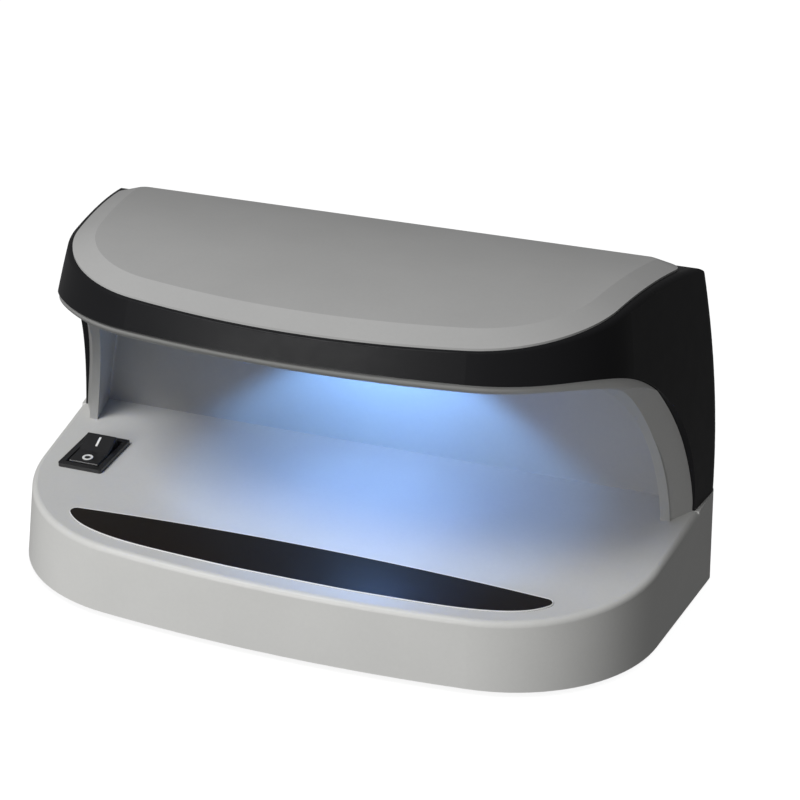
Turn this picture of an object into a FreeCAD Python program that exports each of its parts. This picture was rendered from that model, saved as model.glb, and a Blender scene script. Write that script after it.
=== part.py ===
import FreeCAD, Part
import math
import os
import Sketcher
from FreeCAD import Placement, Rotation, Vector

# Bench-top ultraviolet note checker.
# Millimetres, +X to the object's right seen from the front, +Y to the rear, +Z up.
# The origin is at the middle of the footprint, on the surface that the feet stand on.

doc = FreeCAD.newDocument("note_checker")
sheet = doc.addObject("Spreadsheet::Sheet", "Sizes")

SIZES = [
    # base tray
    ("base_half_width", 108.6), ("base_depth", 102.6), ("base_front_radius", 471.0),
    ("base_corner_radius", 51.5), ("base_taper", 7.8), ("base_draft", 2.0),
    ("base_wall", 2.4), ("rear_corner_radius", 5.0), ("deck_edge_radius", 1.8),
    ("deck_front_height", 22.0), ("deck_slope", 5.6),
    # feet and bottom cover
    ("foot_height", 1.5), ("foot_recess", 0.9), ("foot_radius", 6.0),
    ("foot_across", 78.0), ("foot_front", -26.0), ("foot_back", 38.0),
    ("cover_thickness", 2.0), ("cover_gap", 0.3), ("post_radius", 3.6),
    ("post_across_back", 93.0), ("post_back", 36.5),
    ("post_across_front", 60.0), ("post_front", -31.5),
    ("vent_length", 34.0), ("vent_width", 2.4), ("vent_pitch", 6.0),
    # hood
    ("hood_half_width", 107.0), ("hood_draft", 0.036), ("hood_curve", 0.00149),
    ("hood_foot_height", 29.5), ("hood_front_reach", 96.2), ("hood_front_lean", 0.28),
    ("hood_seam_height", 105.1), ("hood_front_radius", 280.0), ("hood_corner_radius", 44.5),
    ("hood_corner_growth", 0.15), ("hood_taper", 12.9), ("hood_taper_change", 0.02),
    ("hood_wall", 2.2), ("hood_top_height", 105.3),
    ("hood_top_middle", 11.9), ("hood_top_radius", 223.0), ("hood_rear_radius", 12.0),
    ("hood_shoulder_radius", 2.0), ("hood_front_edge_radius", 0.7),
    ("band_height", 90.3), ("band_curve_start", -34.8), ("band_leg", 32.5),
    # lid
    ("lid_half_width", 93.0), ("lid_depth", 97.3), ("lid_front_radius", 275.0),
    ("lid_corner_radius", 41.0), ("lid_taper", 10.6), ("lid_rear_inset", 8.2),
    ("lid_rear_radius", 9.0), ("lid_rise", 2.6), ("lid_bevel_across", 6.5), ("lid_bevel_down", 2.0),
    ("lid_wall", 1.8), ("lid_ledge", 3.5), ("lid_lip", 1.4), ("lid_post_radius", 3.0),
    # lining
    ("lining_inset", 3.8), ("lining_wall", 2.8), ("flange_inset", 0.7), ("flange_gap", 0.15),
    ("flange_round", 2.0), ("rim_height", 87.3), ("rim_curve_start", -34.8),
    ("rim_leg", 23.6),
    ("rim_slant", 6.0), ("rim_slant_run", 8.9), ("lining_lean", 0.07), ("lining_back", 10.4),
    ("ceiling_height", 93.0), ("hood_post_radius", 3.2), ("hood_post_height", 16.0),
    # lamp
    ("lamp_x", 11.0), ("lamp_y", 2.0), ("lamp_mouth_z", 86.0), ("lamp_height", 8.6),
    ("lamp_radius", 15.0), ("lamp_bore", 13.0), ("lamp_flange_radius", 19.0),
    ("lamp_flange_thickness", 1.5), ("lamp_lip", 2.0), ("lamp_opening", 9.8), ("lamp_throat", 7.7),
    ("filter_thickness", 1.5), ("cup_mouth", 7.6), ("cup_throat", 2.7), ("cup_wall", 0.7),
    ("cup_height", 4.9), ("led_board_thickness", 1.6), ("heatsink_radius", 10.0),
    ("heatsink_base", 2.0), ("fin_height", 4.8), ("fin_thickness", 1.2),
    # rocker switch
    ("switch_x", -83.9), ("switch_y", 2.0), ("bezel_width", 15.0), ("bezel_length", 21.0),
    ("bezel_height", 1.3), ("switch_body_width", 12.8), ("switch_body_length", 18.8),
    ("switch_body_depth", 12.0), ("rocker_opening_width", 11.2),
    ("rocker_opening_length", 17.0), ("rocker_well", 6.0), ("rocker_width", 10.4),
    ("rocker_half_length", 7.2), ("rocker_middle_height", 1.5), ("rocker_tip_height", 3.0),
    ("rocker_depth", 2.5), ("rocker_tilt", 12.0), ("pivot_depth", 1.0),
    ("pivot_radius", 1.0), ("pivot_clearance", 0.05), ("pivot_length", 12.2),
    ("mark_place", 3.9), ("mark_line", 0.7), ("mark_bar_length", 3.6), ("mark_ring_radius", 1.7),
    ("mark_height", 0.12),
    # power inlet in the rear wall of the base
    ("inlet_x", 62.0), ("inlet_z", 16.0), ("inlet_width", 20.0), ("inlet_height", 12.0),
    ("inlet_depth", 16.0), ("flange_width", 25.0), ("flange_height", 15.0),
    ("flange_thickness", 1.2), ("socket_half_spacing", 4.3), ("socket_radius", 4.0),
    ("socket_depth", 11.0), ("inlet_pin_radius", 1.2),
    # circuit board
    ("board_x", 24.0), ("board_y", 4.0), ("board_length", 88.0), ("board_width", 40.0),
    ("board_thickness", 1.6), ("board_height", 8.0), ("board_screw_inset", 4.0),
]

for row, (name, value) in enumerate(SIZES, start=1):
    sheet.set("A%d" % row, name)
    sheet.set("B%d" % row, str(value))
    sheet.setAlias("B%d" % row, name)
doc.recompute()

NODES = []


def size(name):
    """The value of one named cell of the sheet."""
    return float(sheet.get(name))


# ---------------------------------------------------------------- places worked out from the sizes

REAR = size("base_depth") / 2
FOOT = size("foot_height")
DECK_ANGLE = size("deck_slope")
DECK_RISE = math.tan(math.radians(DECK_ANGLE))
DECK_START = REAR - 100.0
INLET_FACE = REAR - 0.1
FAR = 400.0


def deck_z(y):
    """Height of the deck's top face at a given place from front to rear."""
    return size("deck_front_height") + DECK_RISE * (y - DECK_START)


def deck_placement(x, y):
    """A frame that lies on the deck: its Z is the deck's normal."""
    return Placement(Vector(x, y, deck_z(y)), Rotation(Vector(1, 0, 0), DECK_ANGLE))


# ---------------------------------------------------------------- helpers

def node(obj, label):
    """Make a document object one of the kept pieces."""
    obj.Label = label
    NODES.append(obj)
    return obj


def feature(label, shape, placement=None):
    """A piece whose shape is set in code, for the moulded shells and bent pieces."""
    obj = doc.addObject("Part::Feature", label)
    obj.Shape = shape
    if placement is not None:
        obj.Placement = placement
    return node(obj, label)


def bind(obj, **expressions):
    """Tie an object's properties to cells of the sheet."""
    for prop, expression in expressions.items():
        obj.setExpression(prop, expression)


def cylinder(name, radius, height, base, axis=Vector(0, 0, 1)):
    """A Part cylinder whose radius and height are expressions."""
    obj = doc.addObject("Part::Cylinder", name)
    bind(obj, Radius=radius, Height=height)
    obj.Placement = Placement(base, Rotation(Vector(0, 0, 1), axis))
    return obj


def block(name, length, width, height, centre, rotation=None):
    """A Part box centred on a point, its three sizes being expressions."""
    obj = doc.addObject("Part::Box", name)
    bind(obj, Length=length, Width=width, Height=height)
    doc.recompute()
    turn = rotation or Rotation()
    half = Vector(obj.Length.Value, obj.Width.Value, obj.Height.Value) * 0.5
    obj.Placement = Placement(centre - turn.multVec(half), turn)
    return obj


def combine(kind, name, pieces):
    """A Part boolean or compound of several objects: MultiFuse, Cut or Compound."""
    obj = doc.addObject("Part::" + kind, name)
    if kind == "Cut":
        obj.Base, obj.Tool = pieces
    elif kind == "Compound":
        obj.Links = pieces
    else:
        obj.Shapes = pieces
    return obj


def solid_block(low, high):
    """A plain box solid between two corners."""
    span = high - low
    return Part.makeBox(span.x, span.y, span.z, low)


def rounded_block(low, high, radius, direction=Vector(0, 0, 1)):
    """A box solid whose edges along one direction are rounded."""
    solid = solid_block(low, high)
    edges = [e for e in solid.Edges if e.tangentAt(e.FirstParameter).cross(direction).Length < 1e-6]
    return solid.makeFillet(radius, edges)


def biggest_solid(shape):
    """The largest solid of a boolean's result."""
    return max(shape.Solids, key=lambda solid: solid.Volume)


def prism_x(points):
    """A closed outline in the YZ plane, from edges or a point list, pushed along the whole width."""
    if isinstance(points[0], Vector):
        wire = Part.makePolygon(points + [points[0]])
    else:
        wire = Part.Wire(points)
    solid = Part.Face(wire).extrude(Vector(2 * FAR, 0, 0))
    solid.translate(Vector(-FAR, 0, 0))
    return solid


def below_deck(drop=0.0):
    """Everything under the deck's top face, lowered by a vertical distance."""
    front, back = -FAR, FAR
    return prism_x([Vector(0, front, deck_z(front) - drop), Vector(0, back, deck_z(back) - drop),
                    Vector(0, back, -FAR), Vector(0, front, -FAR)])


def mirror_x(point):
    return Vector(-point.x, point.y, point.z)


def outline(plan, height, inset=0.0, rear_inset=None, rear_radius=None):
    """Closed D-shaped wire: straight rear, sides tapering in, round corners and a bowed front.

    plan holds half_width and depth at the rear plane, front_radius, corner_radius and taper.
    inset moves every side in by one distance and rear_inset gives the rear side its own."""
    taper = math.radians(plan["taper"])
    back_off = inset if rear_inset is None else rear_inset
    bend = size("rear_corner_radius") if rear_radius is None else rear_radius
    bend = max(bend - inset, 0.6)
    front_radius = plan["front_radius"] - inset
    corner_radius = plan["corner_radius"] - inset
    side = Vector(-math.sin(taper), -math.cos(taper), 0)
    inward = Vector(-math.cos(taper), math.sin(taper), 0)
    rear_point = Vector(plan["half_width"] - inset / math.cos(taper), 0, 0)
    front_centre = Vector(0, front_radius - plan["depth"] + inset, 0)

    start = rear_point + inward * corner_radius
    offset = start - front_centre
    along = offset.dot(side)
    free = offset.dot(offset) - (front_radius - corner_radius) ** 2
    run = math.sqrt(along ** 2 - free) - along
    corner_centre = start + side * run
    side_end = rear_point + side * run
    outward = (corner_centre - front_centre).normalize()
    corner_end = front_centre + outward * front_radius
    sideways = (side_end - corner_centre).normalize()
    corner_middle = corner_centre + (sideways + outward).normalize() * corner_radius

    rear_corner = rear_point + side * (back_off / math.cos(taper))
    half_angle = (math.pi / 2 - taper) / 2
    bend_start = rear_corner + side * (bend / math.tan(half_angle))
    bend_end = rear_corner + Vector(-1, 0, 0) * (bend / math.tan(half_angle))
    bisector = (side + Vector(-1, 0, 0)).normalize()
    bend_middle = rear_corner + bisector * (bend / math.sin(half_angle) - bend)
    front_middle = Vector(0, front_centre.y - front_radius, 0)

    def line(first, last):
        return Part.LineSegment(first, last).toShape()

    def arc(first, middle, last):
        return Part.Arc(first, middle, last).toShape()

    wire = Part.Wire([
        line(mirror_x(bend_end), bend_end),
        arc(bend_end, bend_middle, bend_start),
        line(bend_start, side_end),
        arc(side_end, corner_middle, corner_end),
        arc(corner_end, front_middle, mirror_x(corner_end)),
        arc(mirror_x(corner_end), mirror_x(corner_middle), mirror_x(side_end)),
        line(mirror_x(side_end), mirror_x(bend_start)),
        arc(mirror_x(bend_start), mirror_x(bend_middle), mirror_x(bend_end)),
    ])
    wire.translate(Vector(0, REAR, height))
    return wire


def push_up(wire, height):
    return Part.Face(wire).extrude(Vector(0, 0, height))


# ---------------------------------------------------------------- base tray

def base_plan(height):
    """The base's outline at a height: the walls lean in by the mould's draft."""
    rise = height - FOOT
    lean = size("base_draft") / 30.0 * rise
    return {"half_width": size("base_half_width") - lean, "depth": size("base_depth") - lean,
            "front_radius": size("base_front_radius"), "corner_radius": size("base_corner_radius"),
            "taper": size("base_taper")}


def base_solid(inset, drop, bottom):
    """The base as a full solid, moved in by a wall's thickness and down from the deck."""
    top = 40.0
    rear_inset = inset
    loft = Part.makeLoft([outline(base_plan(bottom), bottom, inset, rear_inset),
                          outline(base_plan(top), top, inset, rear_inset)], True, True)
    return loft.common(below_deck(drop))


DEEP = 20.0
POST_PILOT = 1.25
WIRE_HOLE_RADIUS = 3.0
HOOD_SCREW_CLEARANCE = 1.8
POSTS = [(side * size("post_across_" + end), size("post_" + end)) for end in ("back", "front")
         for side in (-1, 1)]
HOOD_SCREWS = [(x, REAR - 6.2) for x in (-80.0, -28.0, 28.0, 80.0)]
WIRE_HOLE = (0.0, REAR - 5.8)


def deck_edges(solid):
    """The rounded-over edges of the deck, forward of the hood's column."""
    picked = []
    for edge in solid.Edges:
        middle = edge.valueAt((edge.FirstParameter + edge.LastParameter) / 2)
        on_deck = abs(middle.z - deck_z(middle.y)) < 0.01
        rear_line = abs(middle.y - REAR) < size("base_draft") + 0.5
        if on_deck and not rear_line:
            picked.append(edge)
    return picked


def build_base_shell():
    wall = size("base_wall")
    full = base_solid(0.0, 0.0, FOOT)
    rounded = full.makeFillet(size("deck_edge_radius"), deck_edges(full))
    column_front = size("band_leg")
    column = solid_block(Vector(-FAR, column_front, 0), Vector(FAR, FAR, FAR))
    shell = rounded.fuse(full.common(column))
    shell = shell.cut(base_solid(wall, wall, FOOT - 1.0))
    floor = FOOT + size("cover_thickness")
    inside = base_solid(wall - 0.4, wall - 0.4, floor)
    for x, y in POSTS:
        post = Part.makeCylinder(size("post_radius"), FAR, Vector(x, y, floor)).common(inside)
        shell = shell.fuse(post)
    for x, y in POSTS:
        shell = shell.cut(Part.makeCylinder(POST_PILOT, 12.0, Vector(x, y, floor - 0.1)))
    for x, y in HOOD_SCREWS:
        shell = shell.cut(Part.makeCylinder(HOOD_SCREW_CLEARANCE, DEEP, Vector(x, y, deck_z(y) - DEEP / 2)))
    x, y = WIRE_HOLE
    shell = shell.cut(Part.makeCylinder(WIRE_HOLE_RADIUS, DEEP, Vector(x, y, deck_z(y) - DEEP / 2)))
    shell = shell.cut(switch_cutout())
    shell = shell.cut(inlet_cutout())
    shell = shell.cut(strip_solid(0.3, 0.5, -0.5))
    return biggest_solid(shell.removeSplitter())


def switch_cutout():
    half_x = size("switch_body_width") / 2 + 0.1
    half_y = size("switch_body_length") / 2 + 0.1
    hole = solid_block(Vector(-half_x, -half_y, -8), Vector(half_x, half_y, 8))
    hole.Placement = deck_placement(size("switch_x"), size("switch_y"))
    return hole


def inlet_cutout():
    """The inlet's hole in the rear wall, with a shallow seat for its flange."""
    x, z = size("inlet_x"), size("inlet_z")
    half_x, half_z = size("inlet_width") / 2 + 0.1, size("inlet_height") / 2 + 0.1
    hole = solid_block(Vector(x - half_x, REAR - 8, z - half_z), Vector(x + half_x, REAR + 5, z + half_z))
    seat_x, seat_z = size("flange_width") / 2 + 0.15, size("flange_height") / 2 + 0.15
    seat_front = INLET_FACE - size("flange_thickness")
    seat = rounded_block(Vector(x - seat_x, seat_front, z - seat_z), Vector(x + seat_x, REAR + 5, z + seat_z),
                         2.0, Vector(0, 1, 0))
    return hole.fuse(seat)


# ---------------------------------------------------------------- label strip

STRIP_HALF = 75.0
STRIP_END_Y = REAR - 82.2
STRIP_BOW = 13.0
STRIP_ARCH = 5.0
STRIP_TIP = 2.0
STRIP_TURN = math.radians(52)
STRIP_TURN_HIGH = math.radians(4)
# Places on the strip's lower edge, as shares of its half length and of its bow.
STRIP_EDGE = ((0.82, 0.67), (0.62, 0.865), (0.32, 0.97), (0.0, 1.0))


def strip_solid(grow, up, down):
    """The crescent strip on the deck: a deep bow below, a gentle arch above and small round ends."""
    top_y = STRIP_END_Y + STRIP_ARCH + grow
    tip = STRIP_TIP + grow
    end = Vector(STRIP_HALF - STRIP_TIP, STRIP_END_Y, 0)
    end_low = end + Vector(math.sin(STRIP_TURN), -math.cos(STRIP_TURN), 0) * tip
    end_high = end + Vector(math.sin(STRIP_TURN_HIGH), math.cos(STRIP_TURN_HIGH), 0) * tip
    end_tip = end + Vector(tip, 0, 0)
    low_points = [end_low]
    for along, bowed in STRIP_EDGE:
        low_points.append(Vector(along * STRIP_HALF, STRIP_END_Y - bowed * STRIP_BOW - grow, 0))
    curve = Part.BSplineCurve()
    curve.interpolate(low_points, InitialTangent=Vector(-math.cos(STRIP_TURN), -math.sin(STRIP_TURN), 0),
                      FinalTangent=Vector(-1, 0, 0))
    right_half = curve.toShape()
    left_half = right_half.mirror(Vector(), Vector(1, 0, 0))
    tip_right = Part.Arc(end_low, end_tip, end_high).toShape()
    tip_left = Part.Arc(mirror_x(end_high), mirror_x(end_tip), mirror_x(end_low)).toShape()
    upper = Part.Arc(end_high, Vector(0, top_y, 0), mirror_x(end_high)).toShape()
    wire = Part.Wire(Part.sortEdges([right_half, left_half, tip_left, upper, tip_right])[0])
    wire.translate(Vector(0, -STRIP_END_Y, 0))
    solid = Part.Face(wire).extrude(Vector(0, 0, up - down))
    solid.translate(Vector(0, 0, down))
    solid.Placement = deck_placement(0, STRIP_END_Y).multiply(solid.Placement)
    return solid


# ---------------------------------------------------------------- hood

def hood_plan(height, lean=0.0):
    """The hood's outline at a height: its sides bow in towards the top and its front leans back.

    lean draws the sides in further, by that share of the height."""
    rise = height - size("hood_foot_height")
    half = size("hood_half_width") - size("hood_draft") * rise - size("hood_curve") * rise * abs(rise)
    reach = size("hood_front_reach") + size("hood_front_lean") * (size("hood_seam_height") - height)
    below = size("hood_seam_height") - height
    return {"half_width": half - lean * rise, "depth": reach, "front_radius": size("hood_front_radius"),
            "corner_radius": size("hood_corner_radius") + size("hood_corner_growth") * below,
            "taper": size("hood_taper") - size("hood_taper_change") * rise}


HOOD_LEVELS = (24.0, 42.0, 60.0, 76.0, 92.0, 112.0)


def hood_side_profile(drop, rear_inset):
    """The hood's outline from the side: upright rear, rounded rear top and one long arched top."""
    radius = size("hood_top_radius") - drop
    bend = max(size("hood_rear_radius") - max(drop, rear_inset), 1.0) if drop else size("hood_rear_radius")
    centre_y = size("hood_top_middle")
    centre_z = size("hood_top_height") - size("hood_top_radius")
    rear = REAR - rear_inset
    bend_y = rear - bend
    bend_z = centre_z + math.sqrt((radius - bend) ** 2 - (bend_y - centre_y) ** 2)
    upward = Vector(0, bend_y - centre_y, bend_z - centre_z).normalize()
    top_rear = Vector(0, centre_y, centre_z) + upward * radius
    middle = Vector(0, bend_y, bend_z) + (upward + Vector(0, 1, 0)).normalize() * bend
    front_y = -REAR - 20.0
    front_top = Vector(0, front_y, centre_z + math.sqrt(radius ** 2 - (front_y - centre_y) ** 2))
    crown = Vector(0, centre_y, centre_z + radius)
    low_front, low_rear = Vector(0, front_y, 5), Vector(0, rear, 5)
    upright_top = Vector(0, rear, bend_z)
    return prism_x([Part.LineSegment(low_front, low_rear).toShape(),
                    Part.LineSegment(low_rear, upright_top).toShape(),
                    Part.Arc(upright_top, middle, top_rear).toShape(),
                    Part.Arc(top_rear, crown, front_top).toShape(),
                    Part.LineSegment(front_top, low_front).toShape()])


def hood_loft(inset, rear_inset, lean=0.0):
    levels = [outline(hood_plan(z, lean), z, inset, rear_inset) for z in HOOD_LEVELS]
    return Part.makeLoft(levels, True, False)


def hood_solid(inset, rear_inset, drop, lean=0.0):
    """The hood as a full solid, moved in from the sides, the rear and the top."""
    return hood_loft(inset, rear_inset, lean).common(hood_side_profile(drop, rear_inset))


def hood_outer_solid():
    """The hood's outer solid: broad shoulders at its sides that narrow to a small edge along its front."""
    capped = doc.addObject("Part::Feature", "hood_block")
    capped.Shape = biggest_solid(hood_loft(0.0, 0.0).common(arch_slab(-150.0, 0.0)))
    rear_zone = REAR - size("hood_rear_radius")
    wide, fine = size("hood_shoulder_radius"), size("hood_front_edge_radius")
    rim = []
    for index, edge in enumerate(capped.Shape.Edges, start=1):
        box = edge.BoundBox
        crown_seam = box.YLength < 0.01
        if box.ZMin < size("band_height") or box.YMin > rear_zone or crown_seam:
            continue
        first, last = edge.valueAt(edge.FirstParameter), edge.valueAt(edge.LastParameter)
        across_front = abs(first.x + last.x) < 1.0
        along_side = abs(first.y - last.y) > 3 * abs(first.x - last.x)
        if across_front:
            rim.append((index, fine, fine))
        elif along_side:
            rim.append((index, wide, wide))
        elif first.y > last.y:
            rim.append((index, wide, fine))
        else:
            rim.append((index, fine, wide))
    rounded = doc.addObject("Part::Fillet", "hood_rounded")
    rounded.Base = capped
    rounded.Edges = rim
    doc.recompute()
    return rounded.Shape.common(hood_side_profile(0.0, 0.0))


def mouth(edge_height, curve_start, leg):
    """What is cut away under the hood: flat in front, then a quarter ellipse down to the deck."""
    foot = deck_z(leg) - 1.0
    rise = edge_height - foot
    run = leg - curve_start
    front = -REAR - 60.0
    centre = Vector(0, curve_start, foot)
    if rise >= run:
        ellipse = Part.Ellipse(centre + Vector(0, 0, rise), centre + Vector(0, run, 0), centre)
    else:
        ellipse = Part.Ellipse(centre + Vector(0, run, 0), centre + Vector(0, 0, rise), centre)
    start, end = centre + Vector(0, 0, rise), centre + Vector(0, run, 0)
    first, last = sorted((ellipse.parameter(start), ellipse.parameter(end)))
    if last - first > math.pi:
        first, last = last, first + 2 * math.pi
    curve = Part.Edge(ellipse, first, last)
    low_rear, low_front = Vector(0, leg, -20), Vector(0, front, -20)
    high_front = Vector(0, front, edge_height)
    return prism_x([curve,
                    Part.LineSegment(end, low_rear).toShape(),
                    Part.LineSegment(low_rear, low_front).toShape(),
                    Part.LineSegment(low_front, high_front).toShape(),
                    Part.LineSegment(high_front, start).toShape()])


def lid_plan():
    """The lid's own outline: well inside the hood's shoulders, and close to the hood's front."""
    return {"half_width": size("lid_half_width"), "depth": size("lid_depth"),
            "front_radius": size("lid_front_radius"), "corner_radius": size("lid_corner_radius"),
            "taper": size("lid_taper")}


def build_hood_shell():
    wall = size("hood_wall")
    shell = hood_outer_solid().cut(hood_solid(wall, wall, wall))
    shell = shell.cut(mouth(size("band_height"), size("band_curve_start"), size("band_leg")))
    shell = shell.cut(below_deck())
    shell = shell.cut(lid_prism(size("lid_ledge"), FAR))
    return biggest_solid(shell.removeSplitter())


def arch_slab(low, high):
    """The layer between two heights above the hood's arched top face."""
    radius = size("hood_top_radius")
    centre = Vector(-FAR, size("hood_top_middle"), size("hood_top_height") - radius)
    axis = Vector(1, 0, 0)
    upper = Part.makeCylinder(radius + high, 2 * FAR, centre, axis)
    return upper.cut(Part.makeCylinder(radius + low, 2 * FAR, centre, axis))


LID_BOTTOM = 80.0
PILOT_HOLE = 1.1
LID_POSTS = [(-74.0, 27.5), (74.0, 27.5), (-38.0, -34.5), (38.0, -34.5)]


def lid_prism(inset, height):
    """The lid's outline moved in by a distance and pushed up from under the hood's top face."""
    rear_inset = size("lid_rear_inset") + inset
    return push_up(outline(lid_plan(), LID_BOTTOM, inset, rear_inset, size("lid_rear_radius")), height)


def bevelled_plate():
    """The lid's arched plate with a wide, shallow bevel along its rim."""
    plate_object = doc.addObject("Part::Feature", "lid_block")
    plate_object.Shape = biggest_solid(lid_prism(0.0, FAR).common(arch_slab(0.0, size("lid_rise"))))
    plate = plate_object.Shape
    radius = size("hood_top_radius") + size("lid_rise")
    centre_y = size("hood_top_middle")
    centre_z = size("hood_top_height") - size("hood_top_radius")
    across, down = size("lid_bevel_across"), size("lid_bevel_down")
    rim = []
    for index, edge in enumerate(plate.Edges, start=1):
        ends = [edge.valueAt(edge.FirstParameter), edge.valueAt(edge.LastParameter)]
        on_top = all(abs(math.hypot(end.y - centre_y, end.z - centre_z) - radius) < 0.02 for end in ends)
        straight_across = edge.BoundBox.YLength < 0.01
        if not on_top or straight_across:
            continue
        first_face = next(face for face in plate.Faces if any(edge.isSame(other) for other in face.Edges))
        surface = first_face.Surface
        top_is_first = isinstance(surface, Part.Cylinder) and abs(surface.Radius - radius) < 0.1
        rim.append((index, across, down) if top_is_first else (index, down, across))
    bevelled = doc.addObject("Part::Chamfer", "lid_bevelled")
    bevelled.Base = plate_object
    bevelled.Edges = rim
    doc.recompute()
    return bevelled.Shape


def build_hood_lid():
    plate = bevelled_plate()
    under_top = size("lid_rise") - size("lid_wall")
    lip_inset = size("lid_ledge") + 0.3
    lip_out = lid_prism(lip_inset, FAR)
    lip_in = lid_prism(lip_inset + size("lid_lip"), FAR)
    lip = lip_out.cut(lip_in).common(arch_slab(-4.0, 0.2))
    lid = plate.cut(lip_in.common(arch_slab(-1.0, under_top))).fuse(lip)
    under = lip_in.common(arch_slab(-20.0, under_top + 0.2))
    for x, y in LID_POSTS:
        post = Part.makeCylinder(size("lid_post_radius"), FAR, Vector(x, y, size("ceiling_height")))
        lid = lid.fuse(post.common(under))
    for x, y in LID_POSTS:
        lid = lid.cut(Part.makeCylinder(PILOT_HOLE, 7.0, Vector(x, y, size("ceiling_height") - 0.1)))
    return biggest_solid(lid.removeSplitter())


# ---------------------------------------------------------------- lining

HOOD_PILOT = 1.2
LID_SCREW_CLEARANCE = 1.5
LAMP_PILOT = 1.0
SCREW_CIRCLE = 17.0
LAMP_SCREWS = [(size("lamp_x") + SCREW_CIRCLE * math.cos(angle),
                size("lamp_y") + SCREW_CIRCLE * math.sin(angle))
               for angle in (math.radians(30), math.radians(150), math.radians(270))]


SLANT_CUTS = ((0, 4.5), (15, 5.4), (30, 6.0), (45, 5.8), (60, 4.0), (72, 1.0), (80, -2.0))


def leg_slant():
    """What is cut off the right leg's outer corner, so that its side slants in from the hood's edge.

    Each pair of SLANT_CUTS is an angle round the rim's curve and the depth cut there."""
    foot = deck_z(size("rim_leg")) - 1.0
    run, rise = size("rim_leg") - size("rim_curve_start"), size("rim_height") - foot
    points = []
    for angle, depth in SLANT_CUTS:
        y = size("rim_curve_start") + run * math.cos(math.radians(angle))
        z = foot + rise * math.sin(math.radians(angle))
        plan = hood_plan(z)
        side = plan["half_width"] - (REAR - y) * math.tan(math.radians(plan["taper"]))
        points.append(Vector(side - depth, y, z))
    points.insert(0, points[0] - Vector(0, 0, 6))
    curve = Part.BSplineCurve()
    curve.interpolate(points)
    edge = curve.toShape()
    far_edge = edge.translated(Vector(30, 0, 0))
    face = Part.makeRuledSurface(edge, far_edge)
    backward = Vector(size("rim_slant"), size("rim_slant_run"), 0)
    return face.translated(-backward * 0.02).extrude(backward * 1.04)


def lining_flange(inner):
    """The rounded nose of the lining, which fills the hood's edge nearly out to its face."""
    gap = size("flange_gap")
    zone = mouth(size("band_height") - gap, size("band_curve_start"), size("band_leg") - gap)
    opening = mouth(size("rim_height"), size("rim_curve_start"), size("rim_leg"))
    outer = hood_loft(size("flange_inset"), size("lining_back"))
    flange = biggest_solid(outer.cut(inner).common(zone).cut(opening))
    nose = []
    for edge in flange.Edges:
        points = [edge.valueAt(edge.FirstParameter + share * (edge.LastParameter - edge.FirstParameter))
                  for share in (0.0, 0.5, 1.0)]
        on_opening = all(opening.distToShape(Part.Vertex(point))[0] < 0.01 for point in points)
        on_outside = all(Part.Vertex(point).distToShape(outer.Shells[0])[0] < 0.01 for point in points)
        flat_bottom = edge.BoundBox.ZMax < HOOD_LEVELS[0] + 0.1
        if on_opening and on_outside and not flat_bottom:
            nose.append(edge)
    flange = flange.makeFillet(size("flange_round"), nose)
    slant = leg_slant()
    return biggest_solid(flange.cut(slant).cut(slant.mirror(Vector(), Vector(1, 0, 0))))


def build_hood_lining():
    """Back wall, side walls, ceiling and rim of the viewing space, standing on the deck."""
    outer_inset = size("lining_inset")
    wall = size("lining_wall")
    back = size("lining_back")
    ceiling = size("ceiling_height")
    top_cut = solid_block(Vector(-FAR, -FAR, ceiling), Vector(FAR, FAR, FAR))
    lean = size("lining_lean")
    outer = hood_solid(outer_inset, back, 5.0, lean).cut(top_cut)
    inner = hood_solid(outer_inset + wall, back + wall, 5.0, lean)
    inner = inner.cut(solid_block(Vector(-FAR, -FAR, ceiling - wall), Vector(FAR, FAR, FAR)))
    lining = outer.cut(inner)
    lining = lining.cut(mouth(size("rim_height"), size("rim_curve_start"), size("rim_leg")))
    lining = lining.fuse(lining_flange(inner)).cut(below_deck())
    lamp_foot = Vector(size("lamp_x"), size("lamp_y"), 80.0)
    lamp_hole = Part.makeCylinder(size("lamp_radius") + 0.2, 30.0, lamp_foot)
    lining = lining.cut(lamp_hole)
    post_height = size("hood_post_height")
    for x, y in HOOD_SCREWS:
        post = Part.makeCylinder(size("hood_post_radius"), post_height, Vector(x, y, deck_z(y) - 3.0))
        web = solid_block(Vector(x - 1.0, REAR - back - 0.5, deck_z(y) - 3.0),
                          Vector(x + 1.0, y, deck_z(y) - 3.0 + post_height))
        lining = lining.fuse(post.fuse(web).cut(below_deck()))
    for x, y in HOOD_SCREWS:
        lining = lining.cut(Part.makeCylinder(HOOD_PILOT, 10.0, Vector(x, y, deck_z(y) - 1.0)))
    for x, y in LID_POSTS:
        lining = lining.cut(Part.makeCylinder(LID_SCREW_CLEARANCE, DEEP, Vector(x, y, ceiling - DEEP / 2)))
    for x, y in LAMP_SCREWS:
        lining = lining.cut(Part.makeCylinder(LAMP_PILOT, 2.1, Vector(x, y, ceiling - 2.0)))
    return biggest_solid(lining.removeSplitter())


feature("base_shell", build_base_shell())
feature("label_strip", strip_solid(0.0, 0.2, -0.5))
feature("hood_shell", build_hood_shell())
feature("hood_lid", build_hood_lid())
feature("hood_lining", build_hood_lining())


# ---------------------------------------------------------------- bottom cover, feet and screws

FEET = [(side * size("foot_across"), size("foot_" + end)) for side in (-1, 1) for end in ("front", "back")]
BOARD_SCREWS = [(size("board_x") + side * (size("board_length") / 2 - size("board_screw_inset")),
                 size("board_y") + end * (size("board_width") / 2 - size("board_screw_inset")))
                for side in (-1, 1) for end in (-1, 1)]
SCREW_HEAD = 1.0
STANDOFF_RADIUS = 3.0
BOARD_PILOT = 0.9
COVER_CLEARANCE = 1.4
COVER_SEAT = 2.8
VENTS_ACROSS = 38.0


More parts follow.
